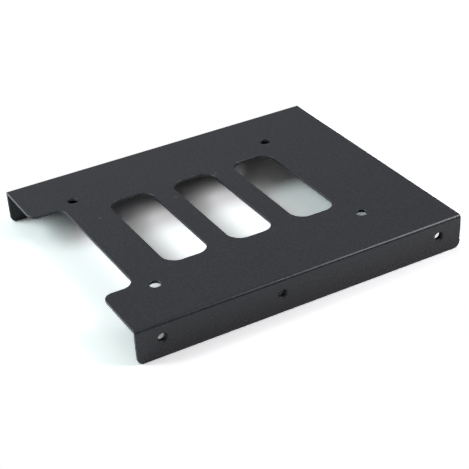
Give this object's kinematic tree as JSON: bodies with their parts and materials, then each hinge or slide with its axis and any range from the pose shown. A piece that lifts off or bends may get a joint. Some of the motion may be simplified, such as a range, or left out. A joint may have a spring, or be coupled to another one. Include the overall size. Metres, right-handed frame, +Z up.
{
  "type": "drive bay adapter bracket",
  "caption": "Folded sheet steel plate with two side flanges, long windows and an end notch, which carries a small drive in a larger drive bay.",
  "frame": {"origin": "under the middle of the bracket, at the height of the flanges' lower edges", "axes": "+X along the flanges, from the notched end to the plain end; +Y from the front flange to the rear one; +Z up, from the flanges' lower edges to the plate"},
  "size_m": [0.1193, 0.1006, 0.0122],
  "materials": {
    "black_powder_coat": "matte black powder coat with a fine grain"
  },
  "bodies": {
    "root": {"bracket": "black_powder_coat"}
  },
  "joints": []
}
